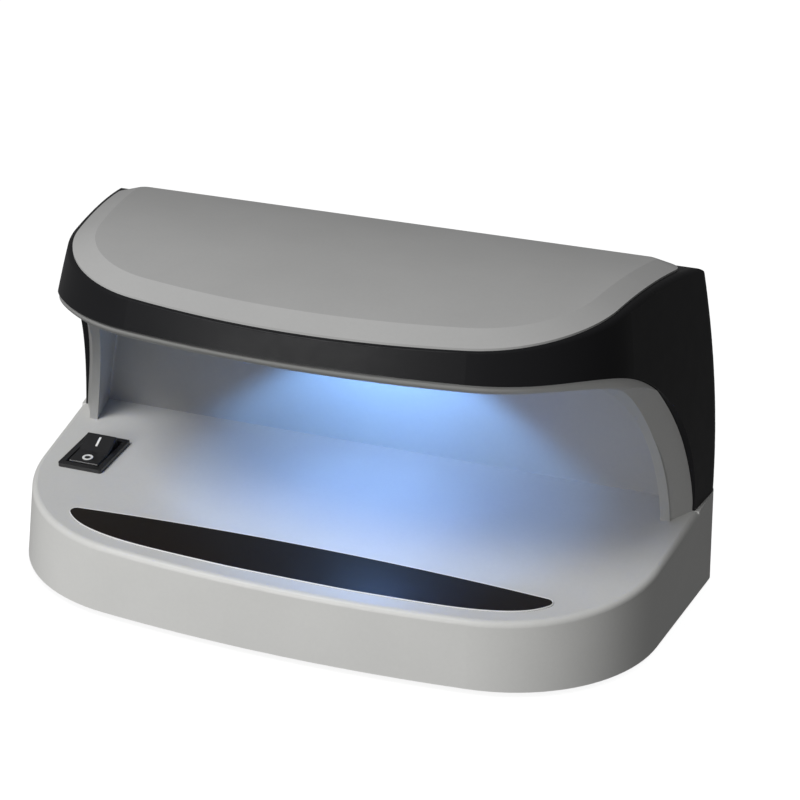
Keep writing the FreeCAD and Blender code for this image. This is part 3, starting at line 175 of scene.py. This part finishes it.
build_beam("beam_on_deck", 0.13, 0.3, [nodes["hood_lining"]], "EXCLUDE")
build_beam("beam_on_wall", 0.30, 0.05, [nodes["hood_lining"]], "INCLUDE")


# ------------------------------------------------------------------ materials

class Shader:
    """A Principled material with short ways to add procedural detail in the object's own coordinates."""

    def __init__(self, name):
        self.material = bpy.data.materials.new(name)
        self.material.use_nodes = True
        self.tree = self.material.node_tree
        self.principled = self.tree.nodes["Principled BSDF"]
        self.coordinates = self.tree.nodes.new("ShaderNodeTexCoord").outputs["Object"]

    def set(self, **values):
        for name, value in values.items():
            self.principled.inputs[name.replace("_", " ")].default_value = value

    def link(self, source, target):
        self.tree.links.new(source, target)

    def noise(self, scale, detail=2.0, roughness=0.5, stretch=None):
        texture = self.tree.nodes.new("ShaderNodeTexNoise")
        texture.inputs["Scale"].default_value = scale
        texture.inputs["Detail"].default_value = detail
        texture.inputs["Roughness"].default_value = roughness
        source = self.coordinates
        if stretch:
            mapping = self.tree.nodes.new("ShaderNodeMapping")
            mapping.inputs["Scale"].default_value = stretch
            self.link(source, mapping.inputs["Vector"])
            source = mapping.outputs["Vector"]
        self.link(source, texture.inputs["Vector"])
        return texture.outputs["Fac"]

    def ramp(self, source, low, high, low_value=0.0, high_value=1.0):
        node = self.tree.nodes.new("ShaderNodeMapRange")
        for name, value in (("From Min", low), ("From Max", high), ("To Min", low_value), ("To Max", high_value)):
            node.inputs[name].default_value = value
        self.link(source, node.inputs["Value"])
        return node.outputs["Result"]

    def math(self, operation, first, second):
        node = self.tree.nodes.new("ShaderNodeMath")
        node.operation = operation
        for index, value in enumerate((first, second)):
            if isinstance(value, (int, float)):
                node.inputs[index].default_value = value
            else:
                self.link(value, node.inputs[index])
        return node.outputs[0]

    def mix(self, factor, first, second):
        node = self.tree.nodes.new("ShaderNodeMix")
        node.data_type = "RGBA"
        self.link(factor, node.inputs[0])
        for socket, value in ((node.inputs[6], first), (node.inputs[7], second)):
            if isinstance(value, tuple):
                socket.default_value = (*value, 1.0)
            else:
                self.link(value, socket)
        return node.outputs[2]

    def edges(self, radius):
        """1 on outer and inner edges, 0 on the faces between them."""
        bevel = self.tree.nodes.new("ShaderNodeBevel")
        bevel.samples = 4
        bevel.inputs["Radius"].default_value = radius
        geometry = self.tree.nodes.new("ShaderNodeNewGeometry")
        dot = self.tree.nodes.new("ShaderNodeVectorMath")
        dot.operation = "DOT_PRODUCT"
        self.link(bevel.outputs["Normal"], dot.inputs[0])
        self.link(geometry.outputs["Normal"], dot.inputs[1])
        return self.ramp(dot.outputs["Value"], 0.995, 0.93)

    def bump(self, height, strength, distance):
        node = self.tree.nodes.new("ShaderNodeBump")
        node.inputs["Strength"].default_value = strength
        node.inputs["Distance"].default_value = distance
        self.link(height, node.inputs["Height"])
        previous = self.principled.inputs["Normal"]
        if previous.is_linked:
            self.link(previous.links[0].from_socket, node.inputs["Normal"])
        self.link(node.outputs["Normal"], self.principled.inputs["Normal"])


def shade(colour, factor):
    return tuple(min(1.0, channel * factor) for channel in colour)


def moulded(name, colour, roughness, grain=0.25, grain_size=0.00035, mottling=0.04, wear=0.0, specular=0.5,
            coat=0.0):
    """Moulded plastic: slight clouding, a spark-eroded grain, uneven gloss and lighter, smoother edges."""
    shader = Shader(name)
    cloud = shader.noise(28.0, 3.0)
    fleck = shader.noise(900.0, 2.0)
    tone = shader.math("MULTIPLY_ADD", fleck, 0.25)
    shader.link(shader.math("MULTIPLY", cloud, 0.75), tone.node.inputs[2])
    base = shader.mix(shader.ramp(tone, 0.3, 0.7), shade(colour, 1 - mottling), shade(colour, 1 + mottling))
    gloss = shader.ramp(shader.noise(140.0, 4.0, 0.6), 0.3, 0.7, roughness - 0.03, roughness + 0.03)
    if wear:
        edge = shader.edges(0.0007)
        worn = shader.math("MULTIPLY", edge, shader.ramp(shader.noise(60.0, 4.0, 0.65), 0.42, 0.62, 0.25, 1.0))
        base = shader.mix(shader.math("MULTIPLY", worn, wear), base, shade(colour, 1.6))
        gloss = shader.math("SUBTRACT", gloss, shader.math("MULTIPLY", worn, 0.12))
    shader.link(base, shader.principled.inputs["Base Color"])
    shader.link(gloss, shader.principled.inputs["Roughness"])
    shader.set(Specular_IOR_Level=specular, Coat_Weight=coat)
    if coat:
        shader.set(Coat_Roughness=0.08)
    if grain:
        shader.bump(shader.noise(1.0 / grain_size, 3.0, 0.6), grain, 0.00006)
    return shader.material


def metal(name, colour, roughness, brushed=None):
    """Bare or plated metal with fine brushing and tarnish."""
    shader = Shader(name)
    streak = shader.noise(700.0, 3.0, 0.6, brushed or (1.0, 1.0, 1.0))
    tarnish = shader.noise(120.0, 4.0, 0.6)
    shader.link(shader.mix(shader.ramp(tarnish, 0.4, 0.7), colour, shade(colour, 0.72)),
                shader.principled.inputs["Base Color"])
    shader.link(shader.ramp(streak, 0.3, 0.7, roughness - 0.07, roughness + 0.1),
                shader.principled.inputs["Roughness"])
    shader.set(Metallic=1.0)
    shader.bump(streak, 0.15, 0.00003)
    return shader.material


def clear(name, colour, roughness, emission=None, strength=0.0):
    """Glass or clear resin, tinted, with faint smears; a lit one also glows."""
    shader = Shader(name)
    shader.link(shader.ramp(shader.noise(90.0, 4.0, 0.6), 0.35, 0.7, roughness, roughness + 0.08),
                shader.principled.inputs["Roughness"])
    haze = shader.mix(shader.ramp(shader.noise(60.0, 3.0), 0.3, 0.7), colour, shade(colour, 0.9))
    shader.link(haze, shader.principled.inputs["Base Color"])
    shader.set(Transmission_Weight=0.85, IOR=1.5)
    if emission:
        shader.set(Emission_Color=(*emission, 1.0), Emission_Strength=strength)
    return shader.material


def paint(names, material):
    """Give the named CAD nodes one material in place of what they came with."""
    for name in names:
        slots = nodes[name].data.materials
        slots.clear()
        slots.append(material)


GREY = (0.58, 0.58, 0.565)
LID_GREY = (0.40, 0.40, 0.396)

paint(["base_shell"], moulded("base_abs", GREY, 0.42, wear=0.25))
paint(["hood_lining"], moulded("lining_abs", (0.52, 0.52, 0.51), 0.38, wear=0.25))
paint(["hood_shell"], moulded("black_abs", (0.012, 0.012, 0.013), 0.34, wear=0.12, specular=0.08))
paint(["hood_lid"], moulded("lid_paint", LID_GREY, 0.4, grain=0.15, wear=0.15))
paint(["bottom_cover"], moulded("cover_abs", (0.05, 0.05, 0.052), 0.5, grain=0.5))
paint(["rubber_feet"], moulded("foot_rubber", (0.02, 0.02, 0.02), 0.8, grain=0.6, mottling=0.15))
paint(["label_strip"], moulded("strip_film", (0.014, 0.011, 0.009), 0.4, grain=0.05, mottling=0.02, specular=0.22))
paint(["rocker_marks"], moulded("mark_paint", (0.75, 0.75, 0.74), 0.5, grain=0.1))
paint(["switch_housing", "switch_rocker"],
        moulded("switch_nylon", (0.010, 0.010, 0.011), 0.3, grain=0.15, wear=0.15, coat=0.2))
paint(["inlet_housing"], moulded("inlet_nylon", (0.012, 0.012, 0.012), 0.42))
paint(["lamp_housing"], moulded("lamp_nylon", (0.014, 0.014, 0.015), 0.45))
paint(["hood_screws", "lid_screws", "bottom_screws", "lamp_screws", "board_screws"],
        metal("zinc_steel", (0.62, 0.62, 0.63), 0.32))
paint(["switch_terminals", "inlet_pins"], metal("tinned_brass", (0.78, 0.66, 0.42), 0.3, (1.0, 6.0, 1.0)))
paint(["reflector_cup"], metal("cup_chrome", (0.86, 0.86, 0.88), 0.08))
paint(["lamp_heatsink"], metal("sink_aluminium", (0.72, 0.72, 0.74), 0.4, (8.0, 1.0, 1.0)))
paint(["lamp_filter"], clear("filter_glass", (0.45, 0.5, 1.0), 0.05, (0.25, 0.4, 1.0), 6.0))
paint(["uv_led"], clear("led_dome", (0.8, 0.85, 1.0), 0.05, (0.5, 0.6, 1.0), 40.0))
paint(["led_board"], moulded("white_mask", (0.78, 0.78, 0.76), 0.35, grain=0.1))
paint(["circuit_board"], moulded("laminate", (0.36, 0.22, 0.07), 0.45, mottling=0.15))
paint(["transformer_core"], moulded("ferrite", (0.05, 0.05, 0.055), 0.55, grain=0.6))
paint(["transformer_winding"], moulded("winding_tape", (0.72, 0.48, 0.05), 0.3, grain=0.1))
paint(["can_capacitors"], moulded("can_sleeve", (0.02, 0.03, 0.09), 0.25, grain=0.05))
paint(["film_capacitors"], moulded("film_epoxy", (0.42, 0.05, 0.025), 0.25, grain=0.1))
paint(["power_transistors"], moulded("package_epoxy", (0.02, 0.02, 0.02), 0.5))
paint(["resistors"], moulded("resistor_lacquer", (0.60, 0.43, 0.22), 0.35, grain=0.1))
paint(["fuse"], clear("fuse_glass", (0.9, 0.95, 0.95), 0.05))
paint(["terminal_blocks"], moulded("terminal_green", (0.03, 0.22, 0.06), 0.4))
paint(["mains_wires"], moulded("wire_brown", (0.12, 0.045, 0.02), 0.4, grain=0.1))
paint(["switch_wires"], moulded("wire_blue", (0.02, 0.06, 0.35), 0.4, grain=0.1))
paint(["lamp_wires"], moulded("wire_white", (0.72, 0.72, 0.68), 0.4, grain=0.1))


def top_loop(mesh):
    """The outline of a plate's upper face, in order, and that face's normal."""
    plate = bmesh.new()
    plate.from_mesh(mesh)
    plate.faces.ensure_lookup_table()
    up = max(plate.faces, key=lambda face: face.calc_area() * max(face.normal.z, 0.0)).normal.copy()
    top = {face for face in plate.faces if face.normal.dot(up) > 0.999}
    ahead = {}
    for face in top:
        for loop in face.loops:
            if not any(other in top for other in loop.edge.link_faces if other is not face):
                ahead[loop.vert.index] = (loop.vert.co.copy(), loop.link_loop_next.vert.index)
    start = place = min(ahead)
    points = []
    while True:
        point, place = ahead[place]
        points.append(point)
        if place == start:
            break
    plate.free()
    return points, up


BEAD_RADIUS = 0.00022
BEAD_SINK = 0.00012


def build_strip_edge_highlight():
    """A thin pale bead in the joint between the strip and the deck: a painted highlight standing for the edge
    catching light.
    """
    points, up = top_loop(nodes["label_strip"].data)
    data = bpy.data.curves.new("strip_edge_highlight", "CURVE")
    data.dimensions = "3D"
    data.bevel_depth = BEAD_RADIUS
    data.bevel_resolution = 2
    spline = data.splines.new("POLY")
    spline.points.add(len(points) - 1)
    for target, point in zip(spline.points, points):
        target.co = (*(point - up * BEAD_SINK), 1.0)
    spline.use_cyclic_u = True
    border = bpy.data.objects.new("strip_edge_highlight", data)
    scene.collection.objects.link(border)
    # The bead's pale colour is a painted highlight along the strip's edge, not a real border.
    data.materials.append(moulded("painted_strip_highlight", (0.72, 0.72, 0.71), 0.35, grain=0.0))
    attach(border, "housing")


build_strip_edge_highlight()

scene.view_settings.view_transform = "Standard"
